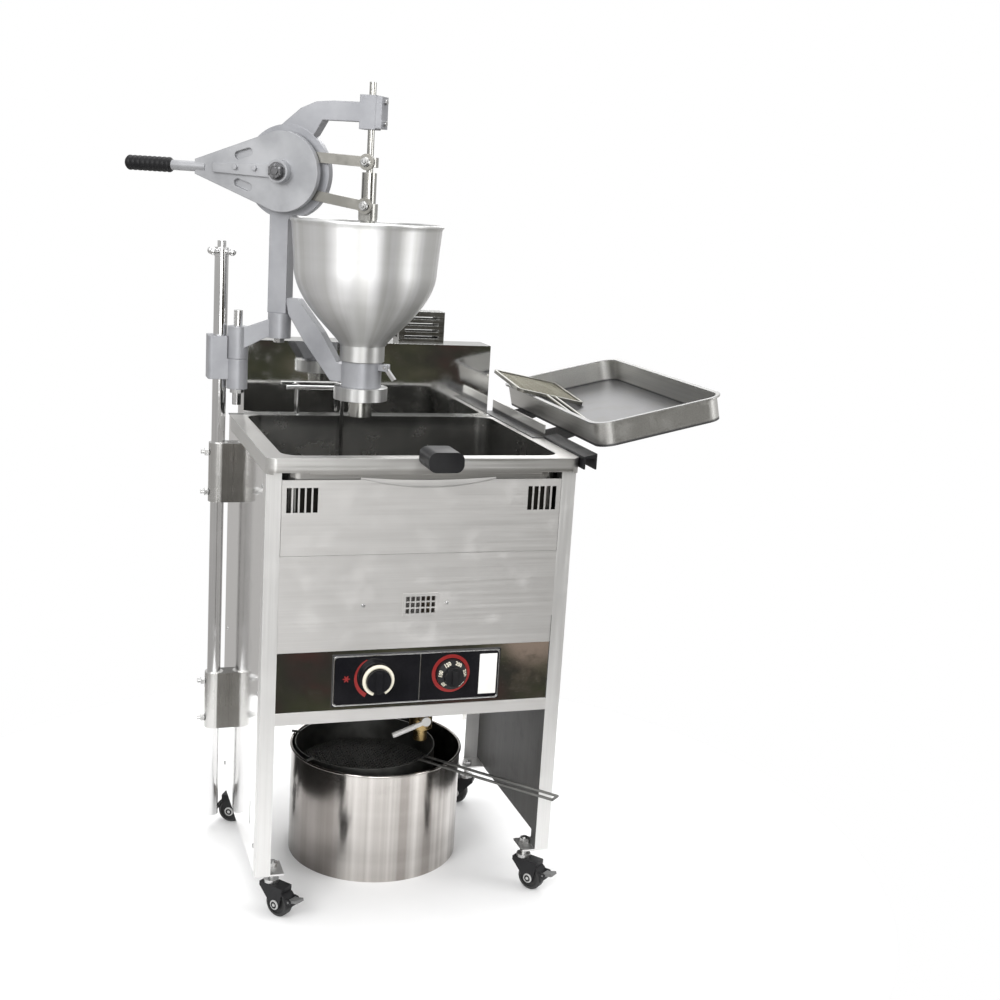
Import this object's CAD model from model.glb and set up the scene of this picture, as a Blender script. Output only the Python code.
"""Looks of the donut fryer: finishes, turned and swept pieces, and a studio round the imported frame."""

import bmesh
import bpy
import numpy as np
from mathutils import Matrix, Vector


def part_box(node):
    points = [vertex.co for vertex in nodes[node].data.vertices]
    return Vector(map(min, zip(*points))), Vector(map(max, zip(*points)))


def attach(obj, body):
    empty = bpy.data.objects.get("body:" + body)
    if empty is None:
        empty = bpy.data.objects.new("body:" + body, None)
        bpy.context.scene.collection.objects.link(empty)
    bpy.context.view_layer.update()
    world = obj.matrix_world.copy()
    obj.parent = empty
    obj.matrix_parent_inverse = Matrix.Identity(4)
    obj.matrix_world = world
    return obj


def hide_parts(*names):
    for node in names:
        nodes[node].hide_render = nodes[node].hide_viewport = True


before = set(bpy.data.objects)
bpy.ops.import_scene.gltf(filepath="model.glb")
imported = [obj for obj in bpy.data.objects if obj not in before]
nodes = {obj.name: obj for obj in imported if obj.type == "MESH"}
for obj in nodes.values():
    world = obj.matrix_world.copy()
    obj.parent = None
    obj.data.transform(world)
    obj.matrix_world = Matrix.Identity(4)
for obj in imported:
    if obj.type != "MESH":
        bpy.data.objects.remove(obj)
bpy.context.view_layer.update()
scene = bpy.context.scene
TURN = 2 * np.pi
TRAY_AT, TRAY_TILT = (313, 35, 839), np.radians(13)
HOPPER_AXIS, POT_AXIS, POLE_AXIS = (-0.0625, 0.026, 0), (0, 0.04, 0), (-0.297, 0.165, 0)


# ---- camera ------------------------------------------------------------------------------------

lens = bpy.data.cameras.new("camera")
lens.sensor_width = 36
lens.lens = 49.79
camera = bpy.data.objects.new("camera", lens)
scene.collection.objects.link(camera)
camera.matrix_world = Matrix((
    (0.94583295, 0.01067855, -0.32447804, -0.6379),
    (-0.31858926, 0.22280651, -0.92133498, -2.4032),
    (0.0624573, 0.9748042, 0.21413981, 1.2577),
    (0, 0, 0, 1)))
scene.camera = camera


# ---- shapes: every length is in millimetres, and skin() turns it into metres ---------------------

def unit(v):
    """Vectors of length one, along the last axis."""
    v = np.asarray(v, float)
    return v / np.linalg.norm(v, axis=-1, keepdims=True)


def across(axis):
    """The axis at length one, and two directions square to it and to each other."""
    w = unit(axis)
    u = unit(np.cross(w, (0, 0, 1) if abs(w[2]) < 0.9 else (0, 1, 0)))
    return w, u, np.cross(w, u)


def turned(profile, at, axis=(0, 0, 1), n=72):
    """Carry a profile of (radius, height) once round an axis: at + height axis + radius (cos a u + sin a v)."""
    w, u, v = across(axis)
    a = np.linspace(0, TURN, n + 1)
    ring = np.cos(a)[:, None] * u + np.sin(a)[:, None] * v
    prof = np.asarray(profile, float)
    return np.asarray(at, float) + prof[:, 1, None, None] * w + prof[:, 0, None, None] * ring[None]


def capped(rows):
    """Close a run of closed sections: both ends are drawn in to their middle point."""
    tips = [np.broadcast_to(r[:-1].mean(0), r.shape)[None] for r in (rows[0], rows[-1])]
    return np.concatenate([tips[0], rows, tips[1]])


def carried(path, section, up=(0, 0, 1)):
    """Carry a closed section (side, top) along a path: side = tangent x up, top = side x tangent."""
    p = np.asarray(path, float)
    t = unit(np.gradient(p, axis=0))
    side = unit(np.cross(t, np.asarray(up, float)))
    top = np.cross(side, t)
    sec = np.broadcast_to(np.asarray(section, float), (len(p),) + np.shape(section)[-2:])
    return capped(p[:, None] + sec[..., :1] * side[:, None] + sec[..., 1:] * top[:, None])


def round_section(r, n=16):
    """A circle of radius r as a closed section."""
    a = np.linspace(0, TURN, n + 1)
    return r * np.stack([np.cos(a), np.sin(a)], -1)


def block_section(w, h, r, n=5):
    """A rectangle w by h with corners of radius r as a closed section."""
    a = np.concatenate([np.linspace(k, k + np.pi / 2, n) for k in np.arange(4) * np.pi / 2])
    c = np.stack([np.cos(a), np.sin(a)], -1)
    q = np.sign(np.stack([np.cos(np.repeat(np.arange(4), n) * np.pi / 2 + np.pi / 4),
                          np.sin(np.repeat(np.arange(4), n) * np.pi / 2 + np.pi / 4)], -1))
    s = r * c + q * (np.array([w, h]) / 2 - r)
    return np.concatenate([s, s[:1]])


def skin(name, grids, look, body, stands_for=(), sharp=38):
    """One piece from grids of points: four neighbours make a face, points that meet are merged, and the
    faces are turned outward. Edges steeper than `sharp` degrees stay crisp."""
    spots, faces, base = [], [], 0
    for g in grids if isinstance(grids, list) else [grids]:
        i, j = np.meshgrid(np.arange(g.shape[0] - 1), np.arange(g.shape[1] - 1), indexing="ij")
        k = base + i * g.shape[1] + j
        faces.append(np.stack([k, k + g.shape[1], k + g.shape[1] + 1, k + 1], -1).reshape(-1, 4))
        spots.append(g.reshape(-1, 3))
        base += g.shape[0] * g.shape[1]
    mesh = bpy.data.meshes.new(name)
    mesh.from_pydata((np.concatenate(spots) * 1e-3).tolist(), [], np.concatenate(faces).tolist())
    bm = bmesh.new()
    bm.from_mesh(mesh)
    bmesh.ops.remove_doubles(bm, verts=bm.verts, dist=2e-6)
    bmesh.ops.dissolve_degenerate(bm, edges=bm.edges, dist=1e-7)
    bmesh.ops.recalc_face_normals(bm, faces=bm.faces)
    bm.to_mesh(mesh)
    bm.free()
    mesh.polygons.foreach_set("use_smooth", np.ones(len(mesh.polygons), bool))
    mesh.set_sharp_from_angle(angle=np.radians(sharp))
    mesh.materials.append(look)
    piece = bpy.data.objects.new(name, mesh)
    scene.collection.objects.link(piece)
    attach(piece, body)
    if stands_for:
        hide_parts(*stands_for)
    return piece


# ---- finishes ------------------------------------------------------------------------------------

def put(tree, kind, ins=None, **props):
    """Add a shader node, set its properties, and set or link its inputs."""
    node = tree.nodes.new("ShaderNode" + kind)
    for key, value in props.items():
        setattr(node, key, value)
    for key, value in (ins or {}).items():
        if isinstance(value, bpy.types.NodeSocket):
            tree.links.new(value, node.inputs[key])
        else:
            node.inputs[key].default_value = value
    return node


def effect(name, ins, outs):
    """An empty shader group with named inputs {name: kind} and outputs; returns tree, inputs, output node."""
    tree = bpy.data.node_groups.new(name, "ShaderNodeTree")
    for key, kind in ins.items():
        tree.interface.new_socket(key, in_out="INPUT", socket_type="NodeSocket" + kind)
    for key in outs:
        tree.interface.new_socket(key, in_out="OUTPUT", socket_type="NodeSocketFloat")
    return tree, tree.nodes.new("NodeGroupInput").outputs, tree.nodes.new("NodeGroupOutput").inputs


def rolled_grain():
    """Sheet metal grain: noise stretched by a vector gives the streaks, coarse noise gives the clouding."""
    tree, i, o = effect("rolled_grain", {"Place": "Vector", "Stretch": "Vector"}, ("Streak", "Cloud"))
    far = put(tree, "VectorMath", {0: i["Place"], 1: i["Stretch"]}, operation="MULTIPLY")
    fine = put(tree, "TexNoise", {"Vector": far.outputs[0], "Scale": 1, "Detail": 5, "Roughness": 0.65})
    soft = put(tree, "TexNoise", {"Vector": i["Place"], "Scale": 7, "Detail": 3, "Roughness": 0.5})
    tree.links.new(fine.outputs["Fac"], o["Streak"])
    tree.links.new(soft.outputs["Fac"], o["Cloud"])
    return tree


def hand_marks():
    """Wear from use: soft smudges where noise is high, hairline scratches where a stretched noise crosses
    its middle value."""
    tree, i, o = effect("hand_marks", {"Place": "Vector"}, ("Smudge", "Scratch"))
    blot = put(tree, "TexNoise", {"Vector": i["Place"], "Scale": 22, "Detail": 5, "Roughness": 0.62})
    mask = put(tree, "MapRange", {"Value": blot.outputs["Fac"], 1: 0.5, 2: 0.72},
               interpolation_type="SMOOTHSTEP")
    lean = put(tree, "VectorRotate", {"Vector": i["Place"], "Axis": (0.3, 0.7, 0.6), "Angle": 0.9})
    long = put(tree, "VectorMath", {0: lean.outputs[0], 1: (340, 18, 340)}, operation="MULTIPLY")
    line = put(tree, "TexNoise", {"Vector": long.outputs[0], "Scale": 0.35, "Detail": 1})
    off = put(tree, "Math", {0: line.outputs["Fac"], 1: 0.5}, operation="SUBTRACT")
    size = put(tree, "Math", {0: off.outputs[0]}, operation="ABSOLUTE")
    thin = put(tree, "MapRange", {"Value": size.outputs[0], 1: 0.0, 2: 0.012, 3: 1, 4: 0})
    tree.links.new(mask.outputs[0], o["Smudge"])
    tree.links.new(thin.outputs[0], o["Scratch"])
    return tree


def cast_skin():
    """Cast or moulded skin: fine noise pits and a coarse change of tone."""
    tree, i, o = effect("cast_skin", {"Place": "Vector", "Size": "Float"}, ("Pit", "Tone"))
    pit = put(tree, "TexNoise", {"Vector": i["Place"], "Scale": i["Size"], "Detail": 4, "Roughness": 0.6})
    tone = put(tree, "TexNoise", {"Vector": i["Place"], "Scale": 14, "Detail": 4, "Roughness": 0.55})
    tree.links.new(pit.outputs["Fac"], o["Pit"])
    tree.links.new(tone.outputs["Fac"], o["Tone"])
    return tree


def tool_rings():
    """Turning marks: noise of the distance from the axis and of the height alone, so it runs in rings;
    Place is measured from the axis."""
    tree, i, o = effect("tool_rings", {"Place": "Vector", "Pitch": "Float"}, ("Ring", "Band"))
    at = put(tree, "SeparateXYZ", {0: i["Place"]})
    flat = put(tree, "CombineXYZ", {0: at.outputs[0], 1: at.outputs[1]})
    away = put(tree, "VectorMath", {0: flat.outputs[0]}, operation="LENGTH")
    run = put(tree, "CombineXYZ", {0: away.outputs["Value"], 2: at.outputs[2]})
    near = put(tree, "VectorMath", {0: run.outputs[0], "Scale": i["Pitch"]}, operation="SCALE")
    ring = put(tree, "TexNoise", {"Vector": near.outputs[0], "Scale": 1, "Detail": 4, "Roughness": 0.7})
    band = put(tree, "TexNoise", {"Vector": run.outputs[0], "Scale": 40, "Detail": 2})
    tree.links.new(ring.outputs["Fac"], o["Ring"])
    tree.links.new(band.outputs["Fac"], o["Band"])
    return tree


GRAIN, MARKS, CAST, RINGS = rolled_grain(), hand_marks(), cast_skin(), tool_rings()


class Finish:
    """A material with its Principled shader, Object coordinates, and short calls for the shared effects."""

    def __init__(self, name, **sockets):
        self.look = bpy.data.materials.new(name)
        self.look.use_nodes = True
        self.tree = self.look.node_tree
        self.shader = self.tree.nodes["Principled BSDF"]
        self.place = self.put("TexCoord").outputs["Object"]
        for key, value in sockets.items():
            self.shader.inputs[key.replace("_", " ")].default_value = value

    def put(self, kind, ins=None, **props):
        """Add a node to this material."""
        return put(self.tree, kind, ins, **props)

    def use(self, tree, **ins):
        """Place a shared effect here and return its outputs."""
        node = self.put("Group", node_tree=tree)
        for key, value in {"Place": self.place, **ins}.items():
            if isinstance(value, bpy.types.NodeSocket):
                self.tree.links.new(value, node.inputs[key])
            else:
                node.inputs[key].default_value = value
        return node.outputs

    def between(self, mask, low, high, ends=(0.3, 0.7)):
        """A value that goes from low to high as the mask goes between its ends."""
        return self.put("MapRange", {"Value": mask, 1: ends[0], 2: ends[1], 3: low, 4: high}).outputs[0]

    def mix(self, mask, a, b, blend="MIX"):
        """Mix two colours, given as values or sockets, by a mask."""
        node = self.put("Mix", {"Factor": mask}, data_type="RGBA", blend_type=blend)
        for socket, value in ((node.inputs[6], a), (node.inputs[7], b)):
            if isinstance(value, bpy.types.NodeSocket):
                self.tree.links.new(value, socket)
            else:
                socket.default_value = (*value, 1)
        return node.outputs[2]

    def sum(self, a, b, how="ADD"):
        """Add or otherwise join two values."""
        return self.put("Math", {0: a, 1: b}, operation=how).outputs[0]

    def close(self, colour=None, rough=None, height=None, depth=0.0002, strength=0.5, edge=None):
        """Feed the shader: colour, roughness, and a bump whose base is the rounded edge normal."""
        links = self.tree.links
        if colour is not None:
            links.new(colour, self.shader.inputs["Base Color"])
        if rough is not None:
            links.new(rough, self.shader.inputs["Roughness"])
        normal = None
        if edge:
            normal = self.put("Bevel", {"Radius": edge}, samples=4).outputs[0]
        if height is not None:
            bump = self.put("Bump", {"Height": height, "Strength": strength, "Distance": depth})
            if normal is not None:
                links.new(normal, bump.inputs["Normal"])
            normal = bump.outputs[0]
        if normal is not None:
            links.new(normal, self.shader.inputs["Normal"])
        return self.look


def sheet(name, dark, light, rough, stretch, smudge=0.08, depth=0.00004, edge=0.0008):
    """Rolled sheet: streaked tone and roughness along the grain, smudges that dull it, hairline scratches."""
    f = Finish(name, Metallic=1)
    grain, marks = f.use(GRAIN, Stretch=stretch), f.use(MARKS)
    tone = f.sum(grain["Streak"], grain["Cloud"], "MULTIPLY")
    colour = f.mix(f.between(tone, 0, 1, (0.15, 0.38)), dark, light)
    dull = f.sum(f.between(grain["Streak"], *rough), f.between(marks["Smudge"], 0, smudge, (0, 1)))
    return f.close(colour, dull, f.sum(grain["Streak"], f.sum(marks["Scratch"], 0.15, "MULTIPLY")), depth,
                   0.4, edge)


def cast(name, dark, light, rough, metallic, size=260, depth=0.00025, edge=0.002, **sockets):
    """Cast or moulded skin: pits in the surface, clouded tone, smudges that shine a little."""
    f = Finish(name, Metallic=metallic, **sockets)
    skin_, marks = f.use(CAST, Size=size), f.use(MARKS)
    colour = f.mix(f.between(skin_["Tone"], 0, 1, (0.35, 0.65)), dark, light)
    dull = f.sum(f.between(skin_["Tone"], *rough), f.between(marks["Smudge"], 0, -0.06, (0, 1)))
    return f.close(colour, dull, skin_["Pit"], depth, 0.35, edge)


def lathe(name, axis, dark, light, rough, pitch=900, depth=0.00003, edge=0.0008, streak=0.8, stripes=(0.6, 9),
          sooty=None, shaded=None):
    """Turned or spun metal: rings round an upright axis through `axis`, banded tone and roughness, a gloss
    that is drawn out across the rings, and upright stripes of tone that depend on the angle alone. The side
    that faces `sooty` is darker, and so is what lies below the two heights in `shaded`."""
    f = Finish(name, Metallic=1, Anisotropic=streak, Anisotropic_Rotation=0.25)
    f.tree.links.new(f.put("Tangent", direction_type="RADIAL", axis="Z").outputs[0], f.shader.inputs["Tangent"])
    moved = f.put("Mapping", {"Vector": f.place, "Location": [-c for c in axis]}).outputs[0]
    rings, marks = f.use(RINGS, Place=moved, Pitch=pitch), f.use(MARKS)
    flat = f.put("VectorMath", {0: moved, 1: (1, 1, 0)}, operation="MULTIPLY").outputs[0]
    around = f.put("VectorMath", {0: flat}, operation="NORMALIZE").outputs[0]
    noise = f.put("TexNoise", {"Vector": around, "Scale": stripes[1], "Detail": 3, "Roughness": 0.55})
    stripe = noise.outputs["Fac"]
    tone = f.sum(f.between(rings["Band"], 0, 1 - stripes[0]), f.between(stripe, 0, stripes[0], (0.38, 0.62)))
    colour = f.mix(tone, dark, light)
    if sooty:
        side = f.put("VectorMath", {0: around, 1: unit(sooty).tolist()}, operation="DOT_PRODUCT")
        colour = f.mix(f.between(side.outputs["Value"], 0, 0.75, (0.74, 0.94)), colour, (0.14, 0.125, 0.115))
    if shaded:
        z = f.put("SeparateXYZ", {0: f.place}).outputs[2]
        colour = f.mix(f.between(z, 0.6, 0, shaded), colour, (0.44, 0.44, 0.43))
    dull = f.sum(f.between(rings["Ring"], *rough), f.between(marks["Smudge"], 0, 0.06, (0, 1)))
    return f.close(colour, dull, rings["Ring"], depth, 0.5, edge)


ALONG_X, ALONG_Y, ALONG_Z, NO_GRAIN = (4, 420, 420), (420, 4, 420), (420, 420, 4), (40, 40, 40)
front_steel = sheet("front_steel", (0.63, 0.62, 0.608), (0.69, 0.68, 0.668), (0.44, 0.52), ALONG_X)
mirror_steel = sheet("mirror_steel", (0.64, 0.64, 0.63), (0.70, 0.70, 0.69), (0.03, 0.06), NO_GRAIN, 0.07,
                     0.00002)
flue_steel = sheet("flue_steel", (0.36, 0.36, 0.35), (0.46, 0.46, 0.45), (0.12, 0.22), ALONG_X, 0.05)
chrome = sheet("chrome", (0.70, 0.70, 0.70), (0.78, 0.78, 0.78), (0.07, 0.14), ALONG_Z, 0.06)
bolt_steel = sheet("bolt_steel", (0.42, 0.42, 0.42), (0.55, 0.55, 0.54), (0.22, 0.34), NO_GRAIN, 0.08)
casting = cast("casting", (0.29, 0.295, 0.315), (0.37, 0.375, 0.395), (0.36, 0.48), 0.4)
lever_casting = cast("lever_casting", (0.32, 0.325, 0.34), (0.42, 0.425, 0.44), (0.36, 0.48), 0.4)
rocker_steel = sheet("rocker_steel", (0.24, 0.235, 0.215), (0.34, 0.33, 0.305), (0.30, 0.42), NO_GRAIN)
rod_steel = sheet("rod_steel", (0.40, 0.395, 0.375), (0.50, 0.495, 0.47), (0.16, 0.26), ALONG_Z)
hub_steel = sheet("hub_steel", (0.13, 0.13, 0.135), (0.20, 0.20, 0.205), (0.30, 0.42), NO_GRAIN)
black_moulding = cast("black_moulding", (0.008, 0.008, 0.009), (0.016, 0.016, 0.017), (0.40, 0.54), 0, 900,
                      0.0001, 0.001, Specular_IOR_Level=0.22)
black_gloss = cast("black_gloss", (0.006, 0.006, 0.008), (0.012, 0.012, 0.014), (0.05, 0.12), 0, 300,
                   0.00002, 0.0006)
grey_moulding = cast("grey_moulding", (0.09, 0.09, 0.09), (0.14, 0.14, 0.14), (0.40, 0.55), 0, 800,
                     0.0001, 0.0006)
grey_cap = cast("grey_cap", (0.34, 0.34, 0.34), (0.44, 0.44, 0.43), (0.30, 0.42), 0, 700, 0.00005, 0.0005)
white_moulding = cast("white_moulding", (0.72, 0.71, 0.68), (0.82, 0.81, 0.79), (0.30, 0.42), 0, 700,
                      0.00005, 0.0006)
tyre_rubber = cast("tyre_rubber", (0.016, 0.016, 0.016), (0.03, 0.03, 0.03), (0.6, 0.75), 0, 700,
                   0.0002, 0.0006)
brass = cast("brass", (0.36, 0.26, 0.12), (0.48, 0.35, 0.16), (0.22, 0.36), 1, 400, 0.0001, 0.0006)
iron = cast("iron", (0.05, 0.045, 0.04), (0.10, 0.085, 0.075), (0.6, 0.8), 0.5, 300, 0.0004)
wire = sheet("wire", (0.22, 0.215, 0.19), (0.32, 0.315, 0.285), (0.28, 0.40), NO_GRAIN, 0.1)
net_wire = sheet("net_wire", (0.25, 0.235, 0.185), (0.36, 0.345, 0.28), (0.30, 0.44), NO_GRAIN, 0.1)
strainer_tin = sheet("strainer_tin", (0.14, 0.14, 0.134), (0.21, 0.21, 0.20), (0.36, 0.5), NO_GRAIN, 0.1)
spun = lathe("spun", HOPPER_AXIS, (0.74, 0.74, 0.725), (0.88, 0.88, 0.885), (0.46, 0.54), stripes=(0.7, 6),
             shaded=(0.985, 1.07))
flange_steel = lathe("flange_steel", HOPPER_AXIS, (0.46, 0.46, 0.455), (0.62, 0.62, 0.615), (0.34, 0.44))
pot_steel = lathe("pot_steel", POT_AXIS, (0.34, 0.315, 0.295), (0.66, 0.635, 0.61), (0.14, 0.2), streak=0.7,
                  stripes=(0.85, 5), sooty=(-0.95, -0.3, 0))
print_red = cast("print_red", (0.20, 0.012, 0.012), (0.30, 0.022, 0.020), (0.30, 0.40), 0, 900, 0.00002, 0)
print_cream = cast("print_cream", (0.66, 0.62, 0.50), (0.78, 0.74, 0.62), (0.35, 0.45), 0, 900, 0.00002, 0)


def side_sheet(name, outward):
    """A side panel: brushed where its folds make the posts, polished outside, oil-dark inside. The posts
    are masked by the depth from front to rear, the outside and the inside by the way the surface faces."""
    f = Finish(name)
    grain, marks = f.use(GRAIN, Stretch=ALONG_Z), f.use(MARKS)
    y = f.put("SeparateXYZ", {0: f.place}).outputs[1]
    turned_to = f.put("SeparateXYZ", {0: f.put("NewGeometry").outputs["Normal"]}).outputs[0]
    out = f.sum(turned_to, outward, "MULTIPLY")
    inside = f.between(out, 1, 0, (-0.9, -0.5))
    polished = f.sum(f.between(out, 0, 1, (0.5, 0.9)), f.between(y, 0, 1, (-0.192, -0.189)), "MULTIPLY")
    colour = f.mix(f.between(grain["Streak"], 0, 1), (0.66, 0.655, 0.645), (0.73, 0.725, 0.715))
    colour = f.mix(polished, colour, (0.92, 0.915, 0.91))
    colour = f.mix(inside, colour, (0.05, 0.049, 0.047))
    brushed = f.sum(f.between(grain["Streak"], 0.44, 0.54), f.between(marks["Smudge"], 0, 0.06, (0, 1)))
    gloss = f.sum(f.between(marks["Smudge"], 0.05, 0.11, (0, 1)), f.between(grain["Cloud"], 0, 0.03))
    rough = f.put("Mix", {"Factor": polished, 2: brushed, 3: gloss}, data_type="FLOAT").outputs[0]
    f.tree.links.new(f.sum(1, inside, "SUBTRACT"), f.shader.inputs["Metallic"])
    return f.close(colour, rough, grain["Streak"], 0.00003, 0.3, 0.0008)


def tank_sheet():
    """The oil tank: a bright brushed rim, a well darkened by oil, and sooty outer walls. The well is what lies
    inside the rim's inner edge and below its top, the walls what lies outside it and below the rim's fold."""
    f = Finish("tank_sheet", Metallic=1)
    grain, marks = f.use(GRAIN, Stretch=ALONG_X), f.use(MARKS)
    x, y, z = f.put("SeparateXYZ", {0: f.place}).outputs
    wide = f.put("Math", {0: x}, operation="ABSOLUTE").outputs[0]
    beside = f.sum(f.between(wide, 0, 1, (0.2424, 0.2428)), f.between(y, 1, 0, (-0.2058, -0.2054)), "MAXIMUM")
    rim = f.sum(beside, f.between(z, 0, 1, (0.8236, 0.8240)), "MAXIMUM")
    rim = f.sum(rim, f.between(y, 1, 0, (0.192, 0.198)), "MULTIPLY")
    colour = f.mix(f.between(grain["Streak"], 0, 1), (0.64, 0.635, 0.62), (0.74, 0.735, 0.72))
    ahead, up = f.put("SeparateXYZ", {0: f.put("NewGeometry").outputs["Normal"]}).outputs[1:]
    fold = f.sum(f.between(ahead, 1, 0, (-0.9, -0.6)), f.between(z, 1, 0, (0.803, 0.809)), "MULTIPLY")
    colour = f.mix(f.sum(fold, f.between(up, 0, 0.8, (0.7, 0.95))), colour, (0.46, 0.45, 0.435))
    oily = f.mix(f.between(grain["Cloud"], 0, 1, (0.35, 0.65)), (0.32, 0.32, 0.31), (0.39, 0.385, 0.37))
    oily = f.mix(f.between(marks["Smudge"], 0, 0.3, (0, 1)), oily, (0.29, 0.28, 0.26))
    strip = f.sum(f.between(y, 0, 1, (0.192, 0.198)), f.between(z, 0, 1, (0.800, 0.815)), "MULTIPLY")
    oily = f.mix(strip, oily, (0.12, 0.12, 0.115))
    walls = f.sum(f.between(z, 1, 0, (0.782, 0.786)), rim, "MULTIPLY")
    colour = f.mix(walls, f.mix(rim, oily, colour), (0.02, 0.019, 0.017))
    rough = f.put("Mix", {"Factor": rim, 2: f.between(grain["Cloud"], 0.20, 0.28),
                          3: f.between(grain["Streak"], 0.30, 0.42)}, data_type="FLOAT").outputs[0]
    rough = f.sum(rough, f.sum(f.sum(walls, 0.4, "MULTIPLY"), f.between(marks["Smudge"], 0, 0.04, (0, 1))))
    return f.close(colour, rough, grain["Streak"], 0.00003, 0.3, 0.0012)


def clamp_sheet():
    """The mast's saddle clamps: bright where they wrap the pole, dark on the web that stands off it. The
    mask is the distance from the pole's axis."""
    f = Finish("clamp_sheet", Metallic=1)
    grain, marks = f.use(GRAIN, Stretch=ALONG_Z), f.use(MARKS)
    moved = f.put("VectorMath", {0: f.place, 1: POLE_AXIS}, operation="SUBTRACT").outputs[0]
    flat = f.put("VectorMath", {0: moved, 1: (1, 1, 0)}, operation="MULTIPLY").outputs[0]
    away = f.put("VectorMath", {0: flat}, operation="LENGTH").outputs["Value"]
    web = f.between(away, 0, 1, (0.0172, 0.0180))
    colour = f.mix(f.between(grain["Streak"], 0, 1), (0.54, 0.535, 0.52), (0.64, 0.635, 0.62))
    dark = f.mix(f.between(grain["Cloud"], 0, 1), (0.11, 0.105, 0.095), (0.17, 0.165, 0.155))
    colour = f.mix(web, colour, dark)
    rough = f.sum(f.between(grain["Streak"], 0.18, 0.28), f.between(marks["Smudge"], 0, 0.08, (0, 1)))
    return f.close(colour, rough, grain["Streak"], 0.00003, 0.3, 0.0008)


def tray_sheet():
    """The drain tray: brushed walls, and a floor and a lip dulled by oil. Floor and lip are masked by the
    height above the tray's tilted bottom."""
    f = Finish("tray_sheet", Metallic=1)
    grain, marks = f.use(GRAIN, Stretch=ALONG_Y), f.use(MARKS)
    x, _, z = f.put("SeparateXYZ", {0: f.place}).outputs
    x, z = f.sum(x, TRAY_AT[0] * 1e-3, "SUBTRACT"), f.sum(z, TRAY_AT[2] * 1e-3, "SUBTRACT")
    above = f.sum(f.sum(x, -np.sin(TRAY_TILT), "MULTIPLY"), f.sum(z, np.cos(TRAY_TILT), "MULTIPLY"))
    floor = f.sum(f.between(above, 1, 0, (0.0030, 0.0060)), f.between(above, 0, 0.8, (0.0440, 0.0446)))
    wall = f.mix(f.between(grain["Streak"], 0, 1), (0.60, 0.595, 0.575), (0.72, 0.715, 0.69))
    oily = f.mix(f.between(grain["Streak"], 0, 1), (0.08, 0.08, 0.082), (0.14, 0.14, 0.142))
    oily = f.mix(f.between(marks["Smudge"], 0, 0.5, (0, 1)), oily, (0.15, 0.145, 0.13))
    rough = f.sum(f.between(grain["Streak"], 0.28, 0.38), f.sum(floor, 0.14, "MULTIPLY"))
    rough = f.sum(rough, f.between(marks["Smudge"], 0, 0.06, (0, 1)))
    return f.close(f.mix(floor, wall, oily), rough, grain["Streak"], 0.00003, 0.3, 0.0010)


def dress(look, *names):
    """Give CAD nodes a finish in their own slots."""
    for name in names:
        ob = nodes[name]
        if not ob.material_slots:
            ob.data.materials.append(look)
        for s in ob.material_slots:
            s.material = look


dress(front_steel, "lower_front_panel", "upper_front_panel", "cross_rails", "back_panel", "grille")
dress(side_sheet("left_side_sheet", -1), "left_side_panel")
dress(side_sheet("right_side_sheet", 1), "right_side_panel")
dress(mirror_steel, "control_fascia", "flue_box")
dress(clamp_sheet(), "mast_clamps")
dress(tank_sheet(), "oil_tank")
dress(flue_steel, "fry_screen", "flue_cap")
dress(iron, "burners")
dress(tray_sheet(), "drain_tray", "tray_hanger")
dress(black_moulding, "lever_grip", "screen_grip", "thermostat_knob", "tray_rest", "thermostat_body")
dress(black_gloss, "control_plate", "gas_knob")
dress(casting, "swing_arm", "depositor_frame", "guide_cap", "mast_bracket")
dress(lever_casting, "lever_arm")
dress(rocker_steel, "upper_rocker", "lower_rocker")
dress(chrome, "mast_pole", "cross_handle", "lifting_screw", "hinge_pin", "hopper_latch", "thermostat_probe")
dress(rod_steel, "plunger_rod", "cutter_tube")
dress(bolt_steel, "mast_bolts", "frame_screws", "caster_stems")
dress(spun, "hopper")
dress(flange_steel, "dough_cylinder")
dress(pot_steel, "oil_pot")
dress(wire, "skimmer")
dress(strainer_tin, "pot_strainer")
dress(brass, "gas_valve", "gas_pipes", "drain_pipe")
dress(white_moulding, "drain_lever")
for corner in ("fl", "fr", "rl", "rr"):
    dress(tyre_rubber, "caster_wheel_" + corner)
    dress(black_moulding, "caster_fork_" + corner)
dress(grey_moulding, "brake_pedal_fl", "brake_pedal_fr")


# ---- depositor -----------------------------------------------------------------------------------

COLUMN, REACH, DRUM_Z = np.array([-196.0, 123.0]), 165, 1276
TURNED_BY = np.radians(36)
OUT = np.array([np.cos(TURNED_BY), -np.sin(TURNED_BY)])
DEEP = np.array([np.sin(TURNED_BY), np.cos(TURNED_BY)])
VIEWER = (-DEEP[0], -DEEP[1], 0)


def dep(s, t, z):
    """A point of the depositor: s along its arm from the column, t away from the viewer, z up."""
    s, t, z = np.broadcast_arrays(np.asarray(s, float), np.asarray(t, float), np.asarray(z, float))
    return np.concatenate([COLUMN + s[..., None] * OUT + t[..., None] * DEEP, z[..., None]], -1)


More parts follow.
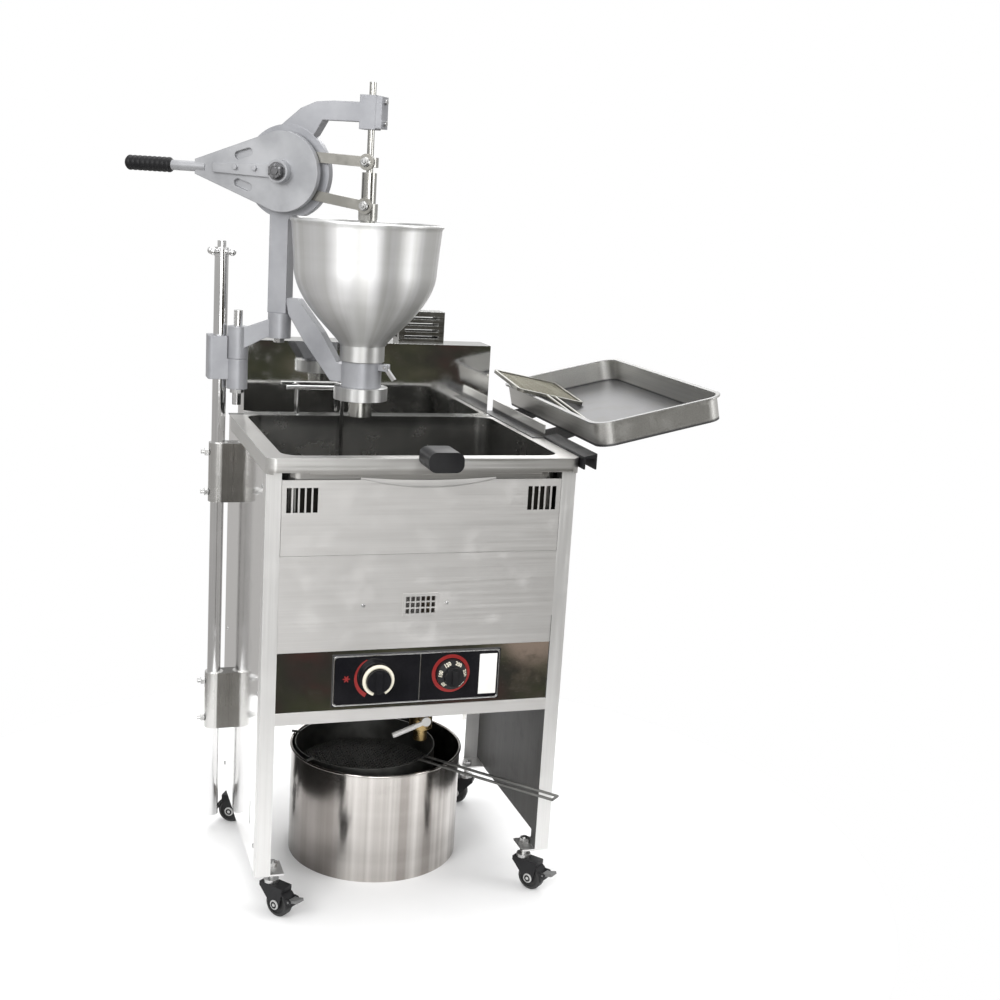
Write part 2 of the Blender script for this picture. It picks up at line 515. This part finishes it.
def hopper_bowl():
    """Spun hopper, one turned profile: the wall leaves the neck as r = 40 + 87 sin^2.5 a, z = 981 +
    139 (1 - cos a), widens by 9 up to the rim, rolls over a bead and comes back 2 inside."""
    a = np.linspace(0, np.pi / 2, 28)
    bowl = np.stack([40 + 87 * np.sin(a) ** 2.5, 981 + 139 * (1 - np.cos(a))], -1)
    up = np.linspace(0.06, 0.94, 16)
    wall = np.stack([127 + 6.4 * up ** 1.1, 1120 + 77 * up], -1)
    roll = np.linspace(-0.6, np.pi, 12)
    bead = np.stack([133 + 3 * np.cos(roll), 1197 + 3 * np.sin(roll)], -1)
    outer = np.concatenate([bowl, wall])
    inner = outer[::-1] - [2, -0.6]
    line = np.concatenate([[[26, 953], [39, 953], [40, 954], [40, 966], [40, 982.4], [42.2, 983], [42.6, 984]],
                           outer[outer[:, 0] > 42.7], bead, inner,
                           [[38, 980], [38, 956], [37, 955], [26, 955], [26, 953]]])
    bowl = turned(line, dep(REACH, 0, 0), n=120)
    return skin("hopper_bowl", bowl, spun, "depositor", ("hopper",))


def grip_sleeve():
    """Ribbed grip: radius 12.3 + 1.2 |sin|^0.5 of the length along it, drawn in to rounded ends."""
    h = np.linspace(0, 98, 240)
    ends = np.sqrt(np.clip(1 - ((np.abs(h - 49) - 41) / 8).clip(0) ** 2, 0, 1))
    r = (11.9 + 1.6 * np.abs(np.sin(np.pi * (h - 4) / 10)) ** 0.6) * ends
    line = np.concatenate([[[0, 0]], np.stack([r, h], -1), [[0, 98]]])
    sleeve = turned(line, dep(-204, -29, DRUM_Z), (-OUT[0], -OUT[1], 0), 48)
    return skin("grip_sleeve", sleeve, black_moulding, "lever", ("lever_grip",), 60)


def hex_nut(at, axis, flats, height, bore, chamfer=1.0):
    """Hexagon nut: the radius flats / (2 cos b), b the angle from the nearest flat, cut back to a cone at
    both ends."""
    w, u, v = across(axis)
    a = np.linspace(0, TURN, 73)
    b = (a + np.pi / 6) % (np.pi / 3) - np.pi / 6
    hexa = flats / 2 / np.cos(b)
    hole, cone = np.full(73, bore / 2), np.full(73, flats / 2)
    ring = np.cos(a)[:, None] * u + np.sin(a)[:, None] * v
    rows = [(hole, 0), (cone, 0), (hexa, chamfer), (hexa, height - chamfer), (cone, height), (hole, height),
            (hole, 0)]
    return np.stack([np.asarray(at, float) + h * w + r[:, None] * ring for r, h in rows])


def washer(at, axis, outer, thick, bore):
    """Flat ring with eased edges, as a turned profile."""
    e, hole, edge = min(0.4, thick / 3), bore / 2, outer / 2
    return turned([[hole, 0], [edge - e, 0], [edge, e], [edge, thick - e], [edge - e, thick], [hole, thick],
                   [hole, 0]], at, axis, 40)


def shaft_end(at, axis, d, length):
    """Rounded end of a shaft or stud: a turned profile with an eased tip."""
    return turned([[0, 0], [d / 2, 0], [d / 2, length - 1], [d / 2 - 1, length], [0, length]], at, axis, 32)


def hub_nut():
    """Nut and washer on the lever's hub."""
    at, n = dep(12, -51.5, DRUM_Z), np.array(VIEWER)
    pieces = [washer(at, n, 32, 2, 15), hex_nut(at + 2 * n, n, 24, 9, 15), shaft_end(at, n, 14.6, 12.5)]
    return skin("hub_nut", pieces, hub_steel, "lever")


def rocker_ends():
    """Washer and nut on each rocker's end pin."""
    n = np.array(VIEWER)
    for name, body, z in (("plunger_nut", "plunger", 1301), ("cutter_nut", "cutter", 1226)):
        at = dep(REACH, -21.4, z)
        pieces = [washer(at, n, 17, 1.4, 7.6), hex_nut(at + 1.4 * n, n, 13, 5, 7.6), shaft_end(at, n, 7.4, 8)]
        skin(name, pieces, bolt_steel, body)


hopper_bowl()
grip_sleeve()
hub_nut()
rocker_ends()


# ---- controls ------------------------------------------------------------------------------------

FRONT = (0, -1, 0)
KNOB_Z, GAS_X, HEAT_X, PLATE_Y, SKIRT_Y = 439.5, -72, 62, -215.5, -224.1
SKIRT_R, SKIRT_RISE, NUMBER_R = 27, 0.65, 21.8


def face(u, w, y):
    """Points on an upright face at depth y: u to the right, w up."""
    u, w, y = np.broadcast_arrays(np.asarray(u, float), np.asarray(w, float), np.asarray(y, float))
    return np.stack([u, y, w], -1)


def band(r0, r1, start, end, at, y, thick, n=64):
    """A flat arc between two radii and two angles: the rectangle (r, depth) carried round the centre."""
    a = np.radians(np.linspace(start, end, n))
    r, d = np.array([r0, r1, r1, r0, r0]), np.array([0, 0, thick, thick, 0])
    rows = face(at[0] + r * np.cos(a)[:, None], at[1] + r * np.sin(a)[:, None], y - d)
    return capped(rows) if abs(end - start) < 359 else rows


def gas_marks():
    """Bright ring on the gas knob, open at its lower right, and the red flame scale printed beside it."""
    a = np.radians(np.linspace(-62, 250, 80))
    path = face(GAS_X + 24.6 * np.cos(a), KNOB_Z + 24.6 * np.sin(a), SKIRT_Y - 9)
    skin("gas_ring", carried(path, round_section(3.4, 14), FRONT), print_cream, "gas_control")
    wide = np.linspace(0, 1, 40)
    a = np.radians(np.linspace(118, 242, 40))
    half = 0.8 + 3.0 * wide[:, None]
    r = 36 + half * np.array([-1, 1, 1, -1, -1])
    d = np.array([0, 0, 0.25, 0.25, 0])
    scale = capped(face(GAS_X + r * np.cos(a)[:, None], KNOB_Z + r * np.sin(a)[:, None], PLATE_Y - d))
    t = np.linspace(0, TURN, 41)
    star = (4.6 + 1.9 * np.cos(6 * t))
    disc = [face(GAS_X - 52 + f * star * np.cos(t), KNOB_Z - 1 + f * star * np.sin(t), PLATE_Y - d_)
            for f, d_ in ((0, 0), (1, 0), (1, 0.25), (0, 0.25))]
    skin("gas_scale", [scale, np.stack(disc)], print_red, "cabinet")


def dial_numbers():
    """Numbers round the thermostat's skirt: each text is made a mesh, stood up, turned to its place on a
    circle of radius NUMBER_R and laid on the skirt's cone."""
    spots, faces, base = [], [], 0
    for k, word in enumerate(("50", "100", "150", "200", "250", "300")):
        curve = bpy.data.curves.new("number", "FONT")
        curve.body, curve.size, curve.extrude, curve.offset = word, 8.4, 0.12, 0.2
        curve.align_x, curve.align_y, curve.resolution_u = "CENTER", "CENTER", 2
        ob = bpy.data.objects.new("number", curve)
        mesh = ob.to_mesh()
        co = np.array([v.co for v in mesh.vertices])
        a = np.radians(225 - 54 * k)
        lean = a - np.pi / 2
        u = co[:, 0] * np.cos(lean) - co[:, 1] * np.sin(lean) + NUMBER_R * np.cos(a)
        w = co[:, 0] * np.sin(lean) + co[:, 1] * np.cos(lean) + NUMBER_R * np.sin(a)
        rise = SKIRT_RISE * (SKIRT_R - np.hypot(u, w))
        spots.append(face(HEAT_X + u, KNOB_Z + w, SKIRT_Y - 0.15 - rise - co[:, 2]))
        faces += [[base + i for i in p.vertices] for p in mesh.polygons]
        base += len(co)
        ob.to_mesh_clear()
        bpy.data.objects.remove(ob)
        bpy.data.curves.remove(curve)
    mesh = bpy.data.meshes.new("dial_numbers")
    mesh.from_pydata((np.concatenate(spots) * 1e-3).tolist(), [], faces)
    mesh.materials.append(print_cream)
    piece = bpy.data.objects.new("dial_numbers", mesh)
    scene.collection.objects.link(piece)
    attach(piece, "heat_control")


def heat_marks():
    """Red ring round the thermostat, on the plate, and the knob's skirt: a cone that rises by SKIRT_RISE of
    its run."""
    ring = band(28.2, 34.5, 0, 360, (HEAT_X, KNOB_Z), PLATE_Y, 0.3, 97)
    skin("heat_ring", ring, print_red, "cabinet")
    cone = [[17.05, 0], [SKIRT_R, 0], [SKIRT_R, 0.1], [17.1, 6.53], [17.05, 6.4], [17.05, 0]]
    skirt = turned(cone, (HEAT_X, SKIRT_Y, KNOB_Z), FRONT, 64)
    skin("heat_skirt", skirt, black_moulding, "heat_control")


def plate_trim():
    """Bright frame and divider of the control plate: a flat half-round carried round a rounded rectangle."""
    w, h, r = 296, 88, 6
    ring = block_section(w, h, r, 8)
    sec = np.array([[-1.2, 0], [-1.0, 0.5], [0, 0.8], [1.0, 0.5], [1.2, 0], [-1.2, 0]])
    mid = np.array([2.0, 435.5])
    grow = (1 + 2 * sec[:, :1] / np.array([[w, h]]))
    rows = face(mid[0] + ring[:, None, 0] * grow[None, :, 0], mid[1] + ring[:, None, 1] * grow[None, :, 1],
                PLATE_Y - 0.8 - np.broadcast_to(sec[:, 1], (len(ring), len(sec))))
    bar = carried(face([6, 6, 6], [393, 435, 478], PLATE_Y - 0.4), block_section(1.8, 0.9, 0.3), FRONT)
    skin("plate_trim", [rows, bar], chrome, "cabinet")
    card = carried(face([114, 126, 138, 146], 435.5, PLATE_Y - 0.4), block_section(0.8, 74, 0.3), (0, 0, 1))
    skin("blank_card", card, white_moulding, "cabinet")


gas_marks()
dial_numbers()
heat_marks()
plate_trim()


# ---- cabinet, tray and casters -------------------------------------------------------------------

def cross_head(at, axis, d, h):
    """Pan-head screw: height h (1 - 0.55 (r/R)^4) over a disc, less a cross recess where either of the two
    across-distances is under R/7, inside half the radius; a skirt closes it to its seat."""
    w, u, v = across(axis)
    a = np.linspace(0, TURN, 49)
    f = np.array([0, 0.12, 0.24, 0.36, 0.48, 0.56, 0.7, 0.85, 0.95, 1.0, 1.0, 0.0])[:, None]
    x, y = f * np.cos(a), f * np.sin(a)
    cross = (np.minimum(np.abs(x), np.abs(y)) < 0.13) & (f < 0.52)
    z = h * (1 - 0.55 * f ** 4) - 0.45 * h * cross
    z[-2:] = 0
    return np.asarray(at, float) + d / 2 * (x[..., None] * u + y[..., None] * v) + z[..., None] * w


def panel_screws():
    """Screws beside the grille, down the side panels and round the back panel."""
    heads = [cross_head((x, -215, 568.5), FRONT, 7, 2.2) for x in (-100, 48)]
    skin("front_screws", heads, bolt_steel, "cabinet", sharp=30)
    for name, side in (("left_screws", -1), ("right_screws", 1)):
        spots = [(side * 270, y, z) for y in (-185, 178) for z in (130, 410, 770)]
        heads = [cross_head(p, (side, 0, 0), 8, 2) for p in spots]
        skin(name, heads, bolt_steel, "cabinet", sharp=30)
    low, high = [1000 * np.array(v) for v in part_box("back_panel")]
    inset = 14
    columns = (low[0] + inset, 0, high[0] - inset)
    rows = (low[2] + inset, (low[2] + high[2]) / 2, high[2] - inset)
    heads = [cross_head((x, high[1], z), (0, 1, 0), 8, 2.2) for x in columns for z in rows]
    skin("back_screws", heads, bolt_steel, "cabinet", sharp=30)


def woven(width, length, pitch, r, sides=5, disc=False):
    """Plain weave in its own plane: each wire is a sine of half-period `pitch`, neighbours in opposite
    phase, and the two ways cross over and under. A disc's wires end on its circle, half a chord from the
    middle: sqrt(R^2 - lane^2)."""
    wires = []
    for across, span, run in ((0, width, length), (1, length, width)):
        for k in range(int(span / pitch)):
            at = (k + 0.5) * pitch
            chord = np.sqrt(max(span ** 2 / 4 - (at - span / 2) ** 2, 0)) if disc else run / 2
            t = np.linspace(run / 2 - chord, run / 2 + chord, int(2 * chord / pitch) * 2 + 3)
            wave = r * np.cos(np.pi * (t / pitch + k + across))
            lane = np.full_like(t, at)
            path = np.stack([t, lane, wave] if across else [lane, t, wave], -1)
            wires.append(carried(path, round_section(r, sides)))
    return wires


def skimmer_net():
    """Fine net of the skimmer: a weave laid on its frame, bulged by a product of sines, raised towards its
    back by `dip`, leaned from the tray's inner edge to its floor by `lean`, and tilted with the tray. In the
    tray's own frame it rests at `edge`, stands out past it by `over`, and its frame is `bar` wide."""
    tilt, lean, dip = TRAY_TILT, np.arcsin(43.5 / 108), np.arcsin(0.0904718)
    edge, over, bar = (1.5, 75.705, 45.3), 28, 6
    wires = []
    for g in woven(129, 159, 3.4, 0.42):
        x, y, z = g[..., 0] + 0.5, g[..., 1] + 0.5, g[..., 2] + 3.2
        z = z + 1.6 * np.sin(np.pi * x / 130) * np.sin(np.pi * y / 160)
        y, z = (y + bar) * np.cos(dip) - z * np.sin(dip), (y + bar) * np.sin(dip) + z * np.cos(dip)
        lx = edge[0] + (x - over) * np.cos(lean) + z * np.sin(lean)
        lz = edge[2] - (x - over) * np.sin(lean) + z * np.cos(lean)
        wires.append(np.stack([TRAY_AT[0] + lx * np.cos(tilt) - lz * np.sin(tilt), TRAY_AT[1] + edge[1] + y,
                               TRAY_AT[2] + lx * np.sin(tilt) + lz * np.cos(tilt)], -1))
    skin("skimmer_net", wires, net_wire, "skimmer_body", sharp=70)


def strainer_net():
    """Fine dark net on the strainer's floor: a round weave."""
    wires = [np.stack([g[..., 0] - 152, g[..., 1] - 90, 166.8 + g[..., 2]], -1)
             for g in woven(260, 260, 5, 1.1, 4, True)]
    skin("strainer_net", wires, strainer_tin, "strainer", sharp=70)


def rail_peg():
    """White peg under the front rail: a turned pin with a collar and a rounded tip."""
    line = [[0, 0], [4, 0], [4, 3], [2.8, 3.6], [2.8, 14], [2, 15.4], [0, 16]]
    skin("rail_peg", turned(line, (95, -205, 361), (0, 0, -1), 24), white_moulding, "cabinet")


def grille_gauze():
    """Dark gauze behind the grille, on the panel's back."""
    wires = [face(g[..., 0] - 29, g[..., 1] + 549, -212.2 + g[..., 2]) for g in woven(58, 36, 1.8, 0.4)]
    skin("grille_gauze", wires, iron, "cabinet", sharp=70)


def finger_return():
    """Folded return of the upper panel behind its finger cut-out: a strip with rounded edges."""
    x = np.linspace(-112, 126, 25)
    path = np.stack([x, np.full(25, -208.6), 775 + 5 * ((x - 7) / 119) ** 2], -1)
    skin("finger_return", carried(path, block_section(1.0, 18, 0.4)), front_steel, "front_cover")


def axle_caps():
    """Grey caps on the caster axles: a low dome turned round the axle, one on each cheek."""
    dome = [[0, 12.8], [8.6, 12.8], [9, 13.4], [8.4, 14.6], [6.5, 15.3], [6.0, 14.6], [3.2, 14.6], [2.8, 15.4],
            [0, 15.5]]
    stem_x, stem_y, trail, axle_z = 236, 181, 20, 24
    for tag, sx, sy, turn in (("fl", -1, -1, -52), ("fr", 1, -1, -52), ("rl", -1, 1, 150), ("rr", 1, 1, 150)):
        t = np.radians(turn)
        at = (sx * stem_x + trail * np.cos(t), sy * stem_y + trail * np.sin(t), axle_z)
        caps = [turned(dome, at, (k * -np.sin(t), k * np.cos(t), 0), 32) for k in (1, -1)]
        skin("axle_caps_" + tag, caps, grey_cap, "caster_" + tag)


panel_screws()
skimmer_net()
strainer_net()
rail_peg()
grille_gauze()
finger_return()
axle_caps()


# ---- studio --------------------------------------------------------------------------------------

def studio_floor():
    """A pale disc of floor: rings of points at the floor's height."""
    a, r = np.linspace(0, TURN, 97), np.linspace(0, 0.98, 12)
    grid = np.stack([r[:, None] * np.cos(a), r[:, None] * np.sin(a), np.zeros((12, 97))], -1)
    mesh = bpy.data.meshes.new("floor")
    i, j = np.meshgrid(np.arange(11), np.arange(96), indexing="ij")
    k = i * 97 + j
    mesh.from_pydata(grid.reshape(-1, 3).tolist(), [],
                     np.stack([k, k + 97, k + 98, k + 1], -1).reshape(-1, 4).tolist())
    floor = bpy.data.objects.new("floor", mesh)
    scene.collection.objects.link(floor)
    f = Finish("pale_floor", Roughness=0.7)
    tone = f.use(CAST, Size=60)["Tone"]
    mesh.materials.append(f.close(f.mix(tone, (0.90, 0.90, 0.90), (0.94, 0.94, 0.94))))


def shades(ramp, stops):
    """Fill a colour ramp with (place, colour) stops."""
    while len(ramp.elements) < len(stops):
        ramp.elements.new(0.5)
    for e, (at, c) in zip(ramp.elements, stops):
        e.position, e.color = at, (*c, 1)


def studio_light():
    """Large soft panels, and a world that is white to the camera and shaded from dark floor to bright
    ceiling for everything that mirrors it."""
    world = bpy.data.worlds.new("studio")
    scene.world = world
    world.use_nodes = True
    tree = world.node_tree
    way = put(tree, "TexCoord").outputs["Generated"]
    height = put(tree, "SeparateXYZ", {0: way}).outputs[2]
    ramp = put(tree, "ValToRGB", {0: put(tree, "MapRange", {"Value": height, 1: -1, 2: 1}).outputs[0]})
    shades(ramp.color_ramp, ((0.0, (0.34, 0.33, 0.32)), (0.44, (0.48, 0.47, 0.46)), (0.52, (0.62, 0.62, 0.61)),
                             (0.70, (0.85, 0.85, 0.85)), (1.0, (1, 1, 1))))
    dark = put(tree, "VectorMath", {0: way, 1: unit((0.40, -0.86, -0.28)).tolist()}, operation="DOT_PRODUCT")
    patch = put(tree, "MapRange", {"Value": dark.outputs["Value"], 1: 0.84, 2: 0.95},
                interpolation_type="SMOOTHSTEP")
    long = put(tree, "VectorMath", {0: way, 1: (1, 1, 3)}, operation="MULTIPLY").outputs[0]
    blotch = put(tree, "TexNoise", {"Vector": long, "Scale": 22, "Detail": 3, "Roughness": 0.6})
    tints = put(tree, "ValToRGB", {0: blotch.outputs["Fac"]})
    shades(tints.color_ramp, ((0.34, (0.085, 0.04, 0.036)), (0.46, (0.042, 0.042, 0.038)),
                              (0.57, (0.058, 0.062, 0.036)), (0.70, (0.17, 0.15, 0.12))))
    pale = put(tree, "VectorMath", {0: way, 1: unit((0.343, -0.887, -0.306)).tolist()}, operation="DOT_PRODUCT")
    spot = put(tree, "MapRange", {"Value": pale.outputs["Value"], 1: 0.99970, 2: 0.99990},
               interpolation_type="SMOOTHSTEP")
    lit = put(tree, "Mix", {"Factor": spot.outputs[0]}, data_type="RGBA")
    tree.links.new(tints.outputs[0], lit.inputs[6])
    lit.inputs[7].default_value = (0.36, 0.28, 0.23, 1)
    room = put(tree, "Mix", {"Factor": patch.outputs[0]}, data_type="RGBA")
    tree.links.new(ramp.outputs[0], room.inputs[6])
    tree.links.new(lit.outputs[2], room.inputs[7])
    seen = put(tree, "LightPath").outputs["Is Camera Ray"]
    mixed = put(tree, "Mix", {"Factor": seen}, data_type="RGBA")
    tree.links.new(room.outputs[2], mixed.inputs[6])
    mixed.inputs[7].default_value = (1, 1, 1, 1)
    ground = tree.nodes["Background"]
    tree.links.new(mixed.outputs[2], ground.inputs["Color"])
    for name, spot, size, power in (("key", (-2.6, -2.4, 2.6), 1.8, 70), ("fill", (2.8, -1.8, 1.9), 1.6, 30),
                                    ("front", (-0.6, -3.6, 1.3), 1.8, 45), ("top", (0.2, 0.4, 3.4), 2.2, 45),
                                    ("back", (1.2, 2.6, 2.4), 1.6, 25)):
        lamp = bpy.data.lights.new(name, "AREA")
        lamp.size, lamp.energy = size, power
        ob = bpy.data.objects.new(name, lamp)
        scene.collection.objects.link(ob)
        z = unit(np.array(spot) - np.array([0, 0, 0.75]))
        x = unit(np.cross((0, 0, 1), z))
        turn = np.stack([x, np.cross(z, x), z], 1)
        ob.matrix_world = Matrix([[*r, s] for r, s in zip(turn, spot)] + [[0, 0, 0, 1]])


studio_floor()
studio_light()
scene.view_settings.view_transform = "Standard"
